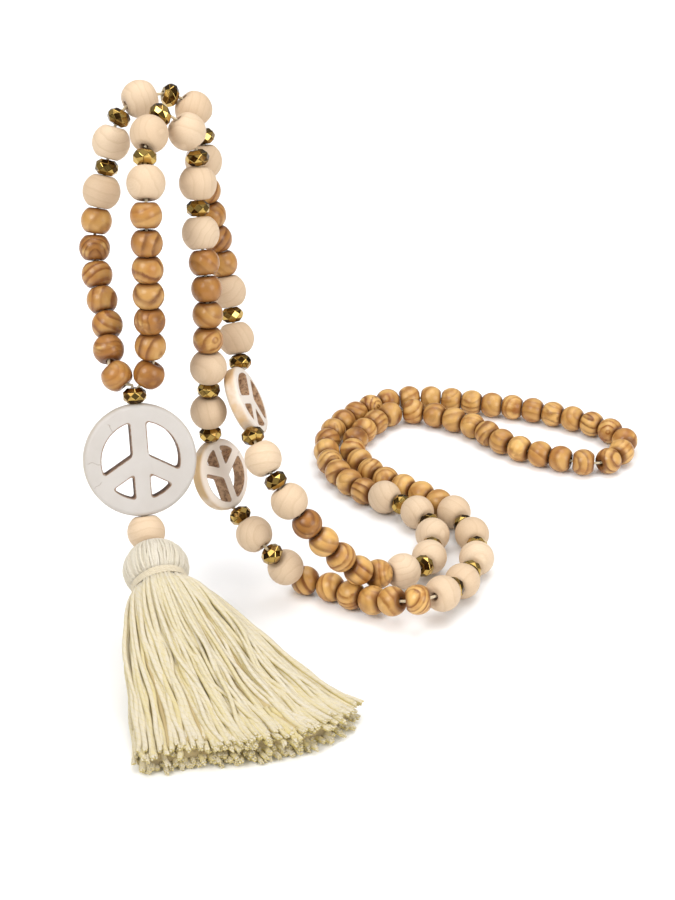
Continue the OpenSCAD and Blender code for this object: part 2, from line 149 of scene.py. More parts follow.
# Meshes
def new_mesh(name, points, faces, attributes):
    """Smooth mesh object from points and lists of corners, with values kept at its points."""
    mesh = bpy.data.meshes.new(name)
    mesh.from_pydata(np.asarray(points, float).tolist(), [], faces)
    for key, values in attributes.items():
        values = np.asarray(values, np.float32)
        single = values.ndim == 1
        layer = mesh.attributes.new(key, "FLOAT" if single else "FLOAT_VECTOR", "POINT")
        layer.data.foreach_set("value" if single else "vector", values.ravel())
    mesh.polygons.foreach_set("use_smooth", [True] * len(mesh.polygons))
    mesh.update()
    obj = bpy.data.objects.new(name, mesh)
    bpy.context.scene.collection.objects.link(obj)
    return obj


def dress(obj, material, node):
    """Gives a new piece its material and its body, and hides the node that it stands for."""
    obj.data.materials.append(material)
    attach(obj, "root")
    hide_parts(node)


def welded(node):
    """Points and triangles of a node, with split corners joined again."""
    mesh = nodes[node].data
    mesh.calc_loop_triangles()
    points = np.zeros(len(mesh.vertices) * 3)
    mesh.vertices.foreach_get("co", points)
    points = points.reshape(-1, 3)
    corners = np.zeros(len(mesh.loop_triangles) * 3, int)
    mesh.loop_triangles.foreach_get("vertices", corners)
    microns = np.round(points * MICRONS_IN_METRE).astype(np.int64)
    _, first, same = np.unique(microns, axis=0, return_index=True, return_inverse=True)
    triangles = same.ravel()[corners].reshape(-1, 3)
    whole = (np.diff(np.sort(triangles, axis=1), axis=1) > 0).all(axis=1)
    return points[first], triangles[whole]


def weighed(corner):
    """Middle and weight of each triangle of a surface, and the middle of the whole surface."""
    square = np.cross(corner[:, 1] - corner[:, 0], corner[:, 2] - corner[:, 0])
    area = np.linalg.norm(square, axis=1)[:, None]
    centre = corner.mean(axis=1)
    return centre, area, (centre * area).sum(0) / area.sum()


def loose_labels(count, triangles):
    """A number for each of count points, the same for all points of one loose solid."""
    label = np.arange(count)
    while True:
        low = label[triangles].min(axis=1)
        new = label.copy()
        np.minimum.at(new, triangles.ravel(), np.repeat(low, 3))
        new = new[new]
        if (new == label).all():
            return label
        label = new


def loose_solids(node):
    """Middle and bore direction of each loose solid of a node, in a settled order."""
    points, triangles = welded(node)
    owner = loose_labels(len(points), triangles)[triangles[:, 0]]
    found = []
    for part in np.unique(owner):
        centre, area, at = weighed(points[triangles[owner == part]])
        off = centre - at
        value, axis = np.linalg.eigh((off * area).T @ off / area.sum())
        # Two of the three spreads of a turned bead are alike, and the third is along its bore
        low_alike = value[1] - value[0] < value[2] - value[1]
        found.append((at, axis[:, 2] if low_alike else axis[:, 0]))
    decimals = 5
    return sorted(found, key=lambda solid: tuple(np.round(solid[0], decimals)))


def random_turn():
    """Random rotation matrix."""
    q = rng.normal(size=4)
    w, x, y, z = q / np.linalg.norm(q)
    return np.array(
        [
            [1 - 2 * (y * y + z * z), 2 * (x * y - z * w), 2 * (x * z + y * w)],
            [2 * (x * y + z * w), 1 - 2 * (x * x + z * z), 2 * (y * z - x * w)],
            [2 * (x * z - y * w), 2 * (y * z + x * w), 1 - 2 * (x * x + y * y)],
        ]
    )


def frame_along(v):
    """Two directions square to v and to each other."""
    nearly_upright = 0.9
    helper = UP if abs(v[2]) < nearly_upright else SIDEWAYS
    side = unit(np.cross(helper, v))
    return side, np.cross(v, side)


def ring_quads(rows, sides, closed=False):
    """Corners of the quads between rings of points, also from the last to the first if closed."""
    j = np.arange(rows if closed else rows - 1)[:, None]
    i = np.arange(sides)[None, :]
    k = (j + 1) % rows
    n = (i + 1) % sides
    return np.stack([j * sides + i, j * sides + n, k * sides + n, k * sides + i], 2).reshape(-1, 4)


def lathe(section, sides):
    """Points and quads of a closed section, distance from the axis and height, turned round Z."""
    section = np.array(section)
    a = np.linspace(0, 2 * math.pi, sides, endpoint=False)
    x = np.outer(section[:, 0], np.cos(a))
    y = np.outer(section[:, 0], np.sin(a))
    z = np.outer(section[:, 1], np.ones(sides))
    return np.stack([x, y, z], 2).reshape(-1, 3), ring_quads(len(section), sides, closed=True)


def bead_section(size):
    """Outline of a drilled ball with flat ends and soft edges, from one mouth of its bore round."""
    r, half, bore = size["width"] / 2, size["length"] / 2, size["bore"] / 2
    flat = math.sqrt(r * r - half * half)
    reach = math.asin(half / r) - BEAD_EDGE / r
    mouth = [
        (bore + BORE_EDGE * (1 - math.cos(t)), half - BORE_EDGE * (1 - math.sin(t)))
        for t in np.linspace(0, math.pi / 2, BORE_ROWS)
    ]
    edge = [(flat - 0.9 * BEAD_EDGE, half), (flat - 0.2 * BEAD_EDGE, half - 0.1 * BEAD_EDGE)]
    ball = [(r * math.cos(t), r * math.sin(t)) for t in np.linspace(reach, -reach, BALL_ROWS)]
    upper = mouth + edge
    return upper + ball + [(x, -y) for x, y in reversed(upper)]


def wooden_beads(name, node, size, material):
    """Turned beads in one piece in the places of a node's loose solids, each with its own grain."""
    points, quads = lathe(bead_section(size), BEAD_SIDES)
    turned = np.hypot(points[:, 0], points[:, 1]) / (size["width"] / 2)
    places, faces, grain, tones = [], [], [], []
    for at, bore in loose_solids(node):
        side, up = frame_along(bore)
        local = points @ np.array([side, up, bore])
        spin = random_turn()
        off = np.array([rng.uniform(*size["pith"]), 0, rng.uniform(-1, 1)])
        spacing = rng.uniform(*size["ring"])
        tone = rng.uniform(0, 1, 3)
        tone[0] = np.interp(tone[0], [0, 1], size["lying" if at[2] < LYING_Z else "hanging"])
        faces.append(quads + len(places) * len(points))
        places.append(local + at)
        grain.append((local @ spin) / spacing + off)
        tones.append(np.repeat([tone], len(points), 0))
    values = {
        "grain": np.concatenate(grain),
        "tone": np.concatenate(tones),
        "turned": np.tile(turned, len(places)),
    }
    obj = new_mesh(name, np.concatenate(places), np.concatenate(faces).tolist(), values)
    dress(obj, material, node)


def tubes(centres, radii, sides):
    """Closed tubes along rows of points: points, faces, and each point's way round and along."""
    count, steps, _ = centres.shape
    side, up = beside(unit(np.gradient(centres, axis=1)))
    a = np.linspace(0, 2 * math.pi, sides, endpoint=False)
    ring = np.cos(a)[:, None] * side[:, :, None] + np.sin(a)[:, None] * up[:, :, None]
    points = centres[:, :, None] + radii[:, :, None, None] * ring
    way = way_along(centres)[:, :, None] / MM
    ply = np.stack(np.broadcast_arrays(np.cos(a), np.sin(a), way), 3)
    size = steps * sides
    quads = ring_quads(steps, sides)[None] + (np.arange(count) * size)[:, None, None]
    faces = quads.reshape(-1, 4).tolist()
    for first in range(0, count * size, size):
        last = first + size - sides
        faces.append(list(range(first + sides - 1, first - 1, -1)))
        faces.append(list(range(last, last + sides)))
    return points.reshape(-1, 3), faces, ply.reshape(-1, 3)


def yarn_piece(name, batches, material, node):
    """One piece from batches of tubes: centres, radii, sides and tones."""
    points, faces, ply, tone = [], [], [], []
    start = 0
    for centres, radii, sides, tones in batches:
        tube_points, tube_faces, tube_ply = tubes(centres, radii, sides)
        points.append(tube_points)
        faces += [[k + start for k in face] for face in tube_faces]
        ply.append(tube_ply)
        tone.append(np.repeat(tones, centres.shape[1] * sides))
        start += len(tube_points)
    values = {"ply": np.concatenate(ply), "tone": np.concatenate(tone)}
    obj = new_mesh(name, np.concatenate(points), faces, values)
    dress(obj, material, node)


# Materials
class Shader:
    """Node tree of one material, filled by short calls that give back sockets."""

    MIX_SHARE = 0
    MIX_COLOURS = (6, 7)
    MIX_RESULT = 2

    def __init__(self, name, **fixed):
        self.material = bpy.data.materials.new(name)
        self.material.use_nodes = True
        self.tree = self.material.node_tree
        self.surface = self.tree.nodes["Principled BSDF"]
        for key, value in fixed.items():
            self.surface.inputs[key.replace("_", " ")].default_value = value

    def put(self, kind, inputs=None, out=0, **settings):
        """Adds a node; inputs are sockets to link or values to set, out is the output to give back."""
        node = self.tree.nodes.new("ShaderNode" + kind)
        for key, value in settings.items():
            setattr(node, key, value)
        for key, value in (inputs or {}).items():
            if isinstance(value, bpy.types.NodeSocket):
                self.tree.links.new(value, node.inputs[key])
            else:
                node.inputs[key].default_value = value
        return node.outputs[out]

    def math(self, operation, a, b=0.0, clamp=False):
        return self.put("Math", {0: a, 1: b}, operation=operation, use_clamp=clamp)

    def plus(self, a, b):
        return self.math("ADD", a, b)

    def less(self, a, b):
        return self.math("SUBTRACT", a, b)

    def times(self, a, b):
        return self.math("MULTIPLY", a, b)

    def away(self, x, y):
        """Distance from the axis that x and y are measured from."""
        return self.math("SQRT", self.plus(self.times(x, x), self.times(y, y)))

    def stretch(self, value, low, high):
        """0 to 1 as value goes from low to high, smoothly."""
        inputs = {"Value": value, "From Min": low, "From Max": high}
        return self.put("MapRange", inputs, interpolation_type="SMOOTHSTEP")

    def between(self, value, to_low, to_high, low=0.0, high=1.0):
        """to_low to to_high as value goes from low to high, evenly."""
        inputs = {"Value": value, "From Min": low, "From Max": high, "To Min": to_low, "To Max": to_high}
        return self.put("MapRange", inputs)

    def noise(self, vector, scale, detail, roughness=0.5):
        inputs = {"Vector": vector, "Scale": scale, "Detail": detail, "Roughness": roughness}
        return self.put("TexNoise", inputs)

    def streaks(self, vector, factors, detail):
        """Noise drawn out along the axes with the smaller factors."""
        scaled = self.put("VectorMath", {0: vector, 1: factors}, operation="MULTIPLY")
        return self.noise(scaled, 1.0, detail)

    def ramp(self, value, stops):
        """Grey at shares of value: each stop is a share and a grey."""
        socket = self.put("ValToRGB", {"Fac": value})
        elements = socket.node.color_ramp.elements
        while len(elements) < len(stops):
            elements.new(0.5)
        for element, (share, grey) in zip(elements, stops):
            element.position = share
            element.color = (grey, grey, grey, 1)
        return socket

    def mix(self, share, *colours):
        """The first colour where share is 0 and the second where it is 1, each a socket or fixed."""
        inputs = {self.MIX_SHARE: share}
        for key, colour in zip(self.MIX_COLOURS, colours):
            linked = isinstance(colour, bpy.types.NodeSocket)
            inputs[key] = colour if linked else (*colour, 1)
        return self.put("Mix", inputs, out=self.MIX_RESULT, data_type="RGBA")

    def tint(self, colour, share, strength, other):
        """A colour turned towards another one by a share of strength."""
        return self.mix(self.times(share, strength), colour, other)

    def attribute(self, name, out="Vector"):
        return self.put("Attribute", out=out, attribute_name=name)

    def split(self, vector):
        return self.put("SeparateXYZ", {0: vector}).node.outputs

    def bump(self, height, distance, strength):
        return self.put("Bump", {"Height": height, "Distance": distance, "Strength": strength})

    def finish(self, colour, roughness, normal):
        """Links what the surface takes, and gives back the material."""
        for key, socket in (("Base Color", colour), ("Roughness", roughness), ("Normal", normal)):
            self.tree.links.new(socket, self.surface.inputs[key])
        return self.material


# Colours of the two woods: palest and darkest bead, then what is laid over them
PINE_COLOURS = {
    "palest": (0.72, 0.435, 0.135),
    "darkest": (0.3, 0.125, 0.022),
    "dark patch": (0.38, 0.16, 0.03),
    "light patch": (0.74, 0.49, 0.18),
    "late wood": (0.3, 0.1, 0.01),
    "dark late wood": (0.14, 0.038, 0.003),
    "darkest late wood": (0.06, 0.014, 0.001),
    "fibre": (0.38, 0.15, 0.03),
    # The end colour is darker end grain and painted shade where the beads meet.
    "end": (0.17, 0.058, 0.012),
    # The bore colour is painted shade inside the drilled hole.
    "bore": (0.16, 0.06, 0.018),
}
NATURAL_COLOURS = {
    "palest": (0.69, 0.535, 0.37),
    "darkest": (0.6, 0.44, 0.285),
    "late wood": (0.42, 0.27, 0.15),
    "fibre": (0.45, 0.31, 0.19),
    # The bore colour is painted shade inside the drilled hole.
    "bore": (0.36, 0.22, 0.13),
}
# How dark a ring is from its inner to its outer side: share of the ring and darkness
PINE_RING = ((0.0, 0.5), (0.09, 0.0), (0.38, 0.05), (0.62, 0.4), (0.78, 0.9), (0.93, 1.0), (1.0, 0.5))
NATURAL_RING = ((0.0, 0.0), (0.7, 0.2), (0.93, 1.0), (1.0, 0.0))


def tree_rings(s, grain, drawn, detail, wander):
    """Distance from the middle of the tree, counted in rings that wander."""
    x, y, _ = s.split(grain)
    return s.plus(s.away(x, y), s.times(s.streaks(grain, drawn, detail), wander))


def late_wood(s, grain, tone, rings):
    """How much the dark late wood shows: stronger in some rings and beads, faded in some places."""
    line = s.ramp(s.math("FRACT", rings), PINE_RING)
    number = s.put("CombineXYZ", {"X": s.math("FLOOR", rings), "Y": tone[2]})
    strength = s.put("TexWhiteNoise", {"Vector": number})
    contrast = s.plus(s.times(tone[1], 0.7), s.times(strength, 0.4))
    kept = s.stretch(s.streaks(grain, (0.8, 0.8, 0.45), 2.0), 0.3, 0.56)
    dark = s.times(line, s.plus(contrast, 0.15))
    return s.math("MULTIPLY", dark, s.plus(s.times(kept, 0.5), 0.5), clamp=True)


def pine_material():
    """Varnished pine: soft late-wood bands on honey, each bead with its own tone and contrast."""
    s = Shader("pine wood", Coat_Weight=0.25, Coat_Roughness=0.16, IOR=1.38)
    own = PINE_COLOURS
    grain = s.attribute("grain")
    tone = s.split(s.attribute("tone"))
    dark = late_wood(s, grain, tone, tree_rings(s, grain, (0.45, 0.45, 0.2), 3.0, 0.9))
    fibre = s.streaks(grain, (16, 16, 0.9), 3.0)
    patch = s.streaks(grain, (0.5, 0.5, 0.2), 2.0)
    pale = s.mix(tone[0], own["palest"], own["darkest"])
    pale = s.tint(pale, s.stretch(patch, 0.45, 0.7), 0.8, own["dark patch"])
    pale = s.tint(pale, s.stretch(patch, 0.45, 0.25), 0.7, own["light patch"])
    late = s.mix(tone[2], own["late wood"], own["dark late wood"])
    late = s.tint(late, tone[0], 0.55, own["darkest late wood"])
    colour = s.mix(dark, pale, late)
    colour = s.tint(colour, s.stretch(fibre, 0.25, 0.8), 0.25, own["fibre"])
    turned = s.attribute("turned", "Fac")
    # Darker towards the flat ends: end grain, and painted shade where the beads meet
    colour = s.tint(colour, s.stretch(turned, 0.88, 0.6), 0.85, own["end"])
    # Painted shade in the bore: the wood darkens towards the hole
    colour = s.tint(colour, s.stretch(turned, 0.4, 0.27), 0.6, own["bore"])
    rough = s.between(s.plus(fibre, dark), 0.34, 0.5, high=1.6)
    height = s.less(s.times(fibre, 0.5), s.times(dark, 0.5))
    return s.finish(colour, rough, s.bump(height, 0.04 * MM, 0.5))


def natural_material():
    """Bare pale wood: hardly any grain, matt."""
    s = Shader("natural wood", IOR=1.45)
    own = NATURAL_COLOURS
    grain = s.attribute("grain")
    tone = s.split(s.attribute("tone"))
    rings = tree_rings(s, grain, (0.5, 0.5, 0.15), 2.0, 1.0)
    line = s.ramp(s.math("FRACT", rings), NATURAL_RING)
    fibre = s.streaks(grain, (16, 16, 1.2), 3.0)
    colour = s.mix(tone[0], own["palest"], own["darkest"])
    colour = s.tint(colour, line, 0.25, own["late wood"])
    colour = s.tint(colour, s.stretch(fibre, 0.3, 0.8), 0.3, own["fibre"])
    turned = s.attribute("turned", "Fac")
    # Painted shade in the bore: the wood darkens towards the hole
    colour = s.tint(colour, s.stretch(turned, 0.32, 0.22), 0.6, own["bore"])
    rough = s.between(fibre, 0.5, 0.68)
    return s.finish(colour, rough, s.bump(fibre, 0.05 * MM, 0.7))


# Noise, in waves for each metre
SMUDGE_WAVES = 900
CLOUD_WAVES = 160
PIT_WAVES = 420
GRIT_WAVES = 1100
FUZZ_WAVES = 5200

GOLD_PAINTED_REFLECTIONS = {"light": (0.52, 0.345, 0.095), "dark": (0.05, 0.024, 0.006), "smudge": (0.33, 0.2, 0.06)}
# Facets whose directions fall in the same cell of this size get the same painted reflection, light or
# dark
FACET_CELL = (0.02, 0.02, 0.02)


def gold_material():
    """Antique gold plating: shiny facets, each painted light or near black as a painted reflection."""
    s = Shader("antique gold", Metallic=1.0)
    direction = s.put("NewGeometry", out="True Normal")
    facet = s.put("VectorMath", {0: direction, 1: FACET_CELL}, operation="SNAP")
    shade = s.put("TexWhiteNoise", {"Vector": facet})
    smudge = s.noise(s.put("TexCoord", out="Object"), SMUDGE_WAVES, 3.0)
    # Painted reflections: each facet light or near black
    colour = s.mix(s.stretch(shade, 0.3, 0.75), GOLD_PAINTED_REFLECTIONS["light"], GOLD_PAINTED_REFLECTIONS["dark"])
    colour = s.tint(colour, s.stretch(smudge, 0.45, 0.8), 0.5, GOLD_PAINTED_REFLECTIONS["smudge"])
    rough = s.between(smudge, 0.06, 0.22, 0.3, 0.8)
    return s.finish(colour, rough, s.bump(smudge, 0.02 * MM, 0.4))


# Discs: sizes of the ring and the sign's spokes, how wide the brown line round the openings is,
# and colours. A crack is its direction in degrees, from and to along it, and half its width.
SPOKE_ANGLE = 60
HOLE_CORNER = 0.7 * MM
CRACK_COLOUR = (0.26, 0.19, 0.14)
CRACK_WANDER = 2.4 * MM
CRACK_WAVES = 420
PENDANT_LOOK = {
    "radius": 15 * MM,
    "rim": 4.6 * MM,
    "spoke": 4.4 * MM,
    "line": 0.25 * MM,
    "face": (0.5, 0.465, 0.43),
    "shadow": (0.44, 0.4, 0.36),
    "edge": (0.47, 0.41, 0.34),
    "fringe": (0.2, 0.11, 0.055),
    "wall": (0.17, 0.085, 0.045),
    "pits": (0.07, 0.035, 0.02),
    "cracks": (
        (128, 10.4 * MM, 13.4 * MM, 0.16 * MM),
        (178, 10.6 * MM, 14.6 * MM, 0.13 * MM),
        (205, 11.6 * MM, 14.8 * MM, 0.1 * MM),
    ),
}
BACK_LOOK = {
    "radius": 10 * MM,
    "rim": 2.2 * MM,
    "spoke": 2.6 * MM,
    "line": 0.13 * MM,
    "face": (0.68, 0.605, 0.53),
    "shadow": (0.6, 0.52, 0.43),
    "edge": (0.56, 0.36, 0.17),
    "fringe": (0.25, 0.15, 0.085),
    "wall": (0.6, 0.39, 0.23),
    "pits": (0.25, 0.14, 0.075),
    "cracks": ((200, 7.8 * MM, 9.6 * MM, 0.1 * MM),),
}
# The front side disc is the same stone as the back one with a lighter face, clouds and edge: painted
# light for its face, which is turned away from the lamps.
FRONT_LOOK_PAINTED_LIGHTER = dict(
    BACK_LOOK,
    face=(0.82, 0.73, 0.64),
    shadow=(0.74, 0.64, 0.53),
    edge=(0.62, 0.42, 0.21),
)


def sign_frame(node):
    """Side, upright and face directions of a disc's sign: its heavier half is the lower one."""
    points, triangles = welded(node)
    _, axis = np.linalg.eigh(np.cov(points.T))
    normal = axis[:, 0] * (1 if axis[1, 0] < 0 else -1)
    _, _, heavy = weighed(points[triangles])
    up = middle(node) - heavy
    up = unit(up - (up @ normal) * normal)
    return np.cross(up, normal), up, normal


def opening_depth(s, x, y, out, look):
    """How deep a place of the face lies in the stone beside the openings and their round corners."""
    inner = look["radius"] - look["rim"]
    half = look["spoke"] / 2
    slant = math.radians(SPOKE_ANGLE)
    aside = s.math("ABSOLUTE", x)
    cross = s.plus(s.times(aside, math.cos(slant)), s.times(y, math.sin(slant)))
    total = 0.0
    for within in (
        s.plus(out, HOLE_CORNER - inner),
        s.less(HOLE_CORNER + half, aside),
        s.less(HOLE_CORNER + half, s.math("ABSOLUTE", cross)),
    ):
        total = s.plus(s.math("POWER", s.math("MAXIMUM", within, 0.0), 2.0), total)
    return s.less(s.math("SQRT", total), HOLE_CORNER)


def crack_share(s, x, y, local, cracks):
    """1 in the middle of a crack and 0 beside it."""
    wander = s.times(s.less(s.noise(local, CRACK_WAVES, 3.0), 0.5), CRACK_WANDER)
    share = 0.0
    for way, start, end, wide in cracks:
        a, b = math.cos(math.radians(way)), math.sin(math.radians(way))
        along = s.plus(s.times(x, a), s.times(y, b))
        across = s.less(s.times(y, a), s.times(x, b))
        thin = s.stretch(s.math("ABSOLUTE", s.plus(across, wander)), wide, 0.3 * wide)
        opened = s.stretch(along, start, start + 0.4 * MM)
        closed = s.stretch(along, end, end - 0.9 * MM)
        share = s.math("MAXIMUM", s.times(thin, s.times(opened, closed)), share)
    return share


def stone_colour(s, look, local, grit, shares):
    """Cloudy face, then the tan rim, the cracks, the brown line and the brown walls laid over it."""
    rim, crack, fringe, wall = shares
    cloud = s.noise(local, CLOUD_WAVES, 3.0)
    pit = s.noise(local, PIT_WAVES, 2.0)
    colour = s.tint(look["face"], s.stretch(cloud, 0.3, 0.75), 0.5, look["shadow"])
    colour = s.tint(colour, rim, s.stretch(cloud, 0.2, 0.62), look["edge"])
    colour = s.tint(colour, crack, 0.55, CRACK_COLOUR)
    colour = s.tint(colour, fringe, s.between(grit, 0.5, 1.0, 0.3, 0.55), look["fringe"])
    brown = s.mix(s.stretch(grit, 0.36, 0.56), look["pits"], look["wall"])
    brown = s.tint(brown, s.stretch(pit, 0.52, 0.66), 0.6, look["pits"])
    return s.tint(colour, wall, 0.95, brown)


def stone_material(name, node, look):
    """Pale stone in the frame of one disc: tan rim, rough brown walls in the openings, fine cracks."""
    s = Shader(name, IOR=1.5)
    side, up, normal = sign_frame(node)
    turn = Matrix(np.array([side, up, normal]).T.tolist()).to_euler()
    place = {"Vector": s.put("TexCoord", out="Object"), "Location": middle(node), "Rotation": turn}
    local = s.put("Mapping", place, vector_type="TEXTURE")
    x, y, _ = s.split(local)
    out = s.away(x, y)
    square = s.put("NewGeometry", out="Normal")
    dot = s.put("VectorMath", {0: square, 1: tuple(normal)}, out="Value", operation="DOT_PRODUCT")
    facing = s.math("ABSOLUTE", dot)
    grit = s.noise(local, GRIT_WAVES, 4.0, 0.65)
    radius, line = look["radius"], look["line"]
    inner = radius - look["rim"]
    inside = s.stretch(out, inner + 0.6 * MM, inner + 0.2 * MM)
    outside = s.stretch(out, radius - 1.6 * MM, radius - 0.3 * MM)
    wall = s.times(s.stretch(facing, 0.7, 0.3), inside)
    rim = s.times(s.stretch(facing, 0.95, 0.3), outside)
    fringe = s.stretch(opening_depth(s, x, y, out, look), 1.35 * line, 0.65 * line)
    crack = crack_share(s, x, y, local, look["cracks"])
    colour = stone_colour(s, look, local, grit, (rim, crack, fringe, wall))
    rough = s.between(s.plus(wall, grit), 0.38, 0.8, high=1.5)
    height = s.less(s.times(grit, s.plus(wall, 0.05)), s.times(crack, 0.3))
    return s.finish(colour, rough, s.bump(height, 0.3 * MM, 0.8))


# Yarns: twist in radians for each millimetre, how much painted shade darkens the grooves between the
# plies, and how much golden painted shade lies on the yarns' sides and undersides
COTTON = dict(pale=(0.565, 0.507, 0.395), shade=(0.5, 0.39, 0.085), twist=1.5, groove=0.4, under=0.85)
# The core is the same cotton coloured darker: painted shade in the gaps between the yarns.
CORE_COTTON_IN_PAINTED_SHADE = dict(pale=(0.45, 0.36, 0.2), shade=(0.38, 0.28, 0.115), twist=1.5, groove=0.4, under=0)
HEAD_COTTON = dict(pale=(0.6, 0.55, 0.46), shade=(0.45, 0.385, 0.24), twist=2.4, groove=0.55, under=0)
BINDING_COTTON = dict(pale=(0.61, 0.54, 0.415), shade=(0.44, 0.35, 0.18), twist=2.4, groove=0.5, under=0)
STRING_COTTON = dict(pale=(0.74, 0.63, 0.44), shade=(0.42, 0.3, 0.14), twist=2.6, groove=0.6, under=0)
# How far the plies turn, in radians, and the patches move as the tone goes from 0 to 1,
# and how many patches come in each millimetre of yarn
TONE_TWIST = 60.0
TONE_PATCH = 97.0
PATCH_WAVES = 0.12


def yarn_material(name, look):
    """Cotton yarn: plies that twist round each other, soft fibres, each yarn with its own tone."""
    s = Shader(name, Sheen_Weight=0.25, Sheen_Roughness=0.5, IOR=1.4)
    shade = look["shade"]
    cosine, sine, way = s.split(s.attribute("ply"))
    tone = s.attribute("tone", "Fac")
    angle = s.plus(s.times(way, look["twist"]), s.times(tone, TONE_TWIST))
    across = s.plus(s.times(cosine, s.math("COSINE", angle)), s.times(sine, s.math("SINE", angle)))
    lobes = s.less(1.0, s.times(across, across))
    fuzz = s.noise(s.put("TexCoord", out="Object"), FUZZ_WAVES, 2.0, 0.6)
    own = s.put("CombineXYZ", {"X": s.times(tone, TONE_PATCH), "Y": s.times(way, PATCH_WAVES)})
    patch = s.noise(own, 1.0, 2.0)
    colour = s.tint(look["pale"], tone, 0.8, shade)
    colour = s.tint(colour, s.stretch(patch, 0.45, 0.8), 0.25, shade)
    # Painted shade: the yarns' sides and undersides turned golden and darker
    colour = s.tint(colour, s.stretch(sine, 0.62, -0.1), look["under"], shade)
    # Painted shade in the grooves between the plies
    colour = s.tint(colour, s.stretch(lobes, 0.28, 0.0), look["groove"], shade)
    rough = s.between(fuzz, 0.78, 0.95)
    height = s.plus(s.math("SQRT", lobes), s.times(fuzz, 0.6))
    return s.finish(colour, rough, s.bump(height, 0.1 * MM, 0.6))


GOLD_EDGE = {"width": 0.08 * MM, "segments": 1, "angle": 12}
DISC_EDGE = {"width": 0.3 * MM, "segments": 2, "angle": 50}
JOIN_DISTANCE = 0.002 * MM


def carried_over(node, edge, material):
    """Shows a node as it is, its sharp edges rounded by modifiers, in a new material."""
    obj = nodes[node]
    weld = obj.modifiers.new("join corners", "WELD")
    weld.merge_threshold = JOIN_DISTANCE
    bevel = obj.modifiers.new("soft edges", "BEVEL")
    bevel.width = edge["width"]
    bevel.segments = edge["segments"]
    bevel.limit_method = "ANGLE"
    bevel.angle_limit = math.radians(edge["angle"])
    obj.data.materials.clear()
    obj.data.materials.append(material)


# Beads and discs
pine = pine_material()
natural = natural_material()
gold = gold_material()
for half in ("left", "right"):
    wooden_beads(f"pine_{half}", f"pine_beads_{half}", PINE, pine)
    wooden_beads(f"natural_{half}", f"natural_beads_{half}", NATURAL, natural)
    carried_over(f"gold_beads_{half}", GOLD_EDGE, gold)
wooden_beads("bead_over_tassel", "tassel_bead", TASSEL_BEAD, natural)
carried_over("pendant_spacer", GOLD_EDGE, gold)
for node, look in (
    ("pendant_disc", PENDANT_LOOK),
    ("side_disc_front", FRONT_LOOK_PAINTED_LIGHTER),
    ("side_disc_back", BACK_LOOK),
):
    carried_over(node, DISC_EDGE, stone_material(f"stone of {node}", node, look))


# Tassel
tassel_out = leaning(TASSEL_LEAN, TASSEL_HEADING)
head_at = middle("tassel_bead") + (NATURAL["width"] / 2 + GAP + HEAD_TOP) * tassel_out
head_side = unit(np.array([-tassel_out[1], tassel_out[0], 0]))
head_up = np.cross(tassel_out, head_side)
head_s = [h * HEAD_TOP for h in HEAD_SHARE] + [NECK_FROM, NECK_TO]
head_r = [HEAD_D / 2 * r for r in HEAD_RADIUS] + [NECK_D / 2, NECK_D / 2]


def smooth_between(x, xs, ys):
    """Value at x of a smooth curve through the points of a table."""
    xs, ys = np.asarray(xs, float), np.asarray(ys, float)
    slope = np.gradient(ys, xs)
    i = np.clip(np.searchsorted(xs, x, side="right") - 1, 0, len(xs) - 2)
    h = xs[i + 1] - xs[i]
    f = np.clip((x - xs[i]) / h, 0, 1)
    a, b = 2 * f**3 - 3 * f**2 + 1, (f**3 - 2 * f**2 + f) * h
    c, e = 3 * f**2 - 2 * f**3, (f**3 - f**2) * h
    return a * ys[i] + b * slope[i] + c * ys[i + 1] + e * slope[i + 1]


def head_point(s, r, a):
    """Point of the head: s along it, radius r, angle a round it in radians."""
    return (
        head_at
        + s[..., None] * tassel_out
        + (r * np.cos(a))[..., None] * head_side
        + (r * np.sin(a))[..., None] * head_up
    )


def skirt_section(f, a, rho, inset):
    """Place in the skirt's section: across for its angle alone, then across and up, -1 to 1."""
    flat = np.minimum(1, f * FLATTENING)
    even = np.where(a <= 180, 1 - a / 90, a / 90 - 3)
    u0 = (1 - flat) * np.cos(np.radians(a)) + flat * even
    n = ROUND_POWER + (FLAT_POWER - ROUND_POWER) * flat
    v0 = np.where(a <= 180, 1, -1) * np.maximum(0, 1 - np.abs(u0) ** n) ** (1 / n)
    groove = (1 + np.cos(np.radians(LOCK_N * a))) / 2
    deep = LOCK_DEPTH * np.minimum(1, LOCK_START * f) * groove
    half_wide = (1 - flat) * NECK_D / 2 + flat * SKIRT_L * math.radians(FAN_ANGLE / 2)
    half_thick = (1 - flat) * NECK_D / 2 + flat * SKIRT_T / 2
    u = u0 * (1 - LOCK_ACROSS * deep) * rho * (1 - inset / half_wide)
    v = v0 * (1 - deep * np.where(v0 < 0, LOCK_UNDER, 1)) * rho * (1 - inset / half_thick)
    return u0, u, v


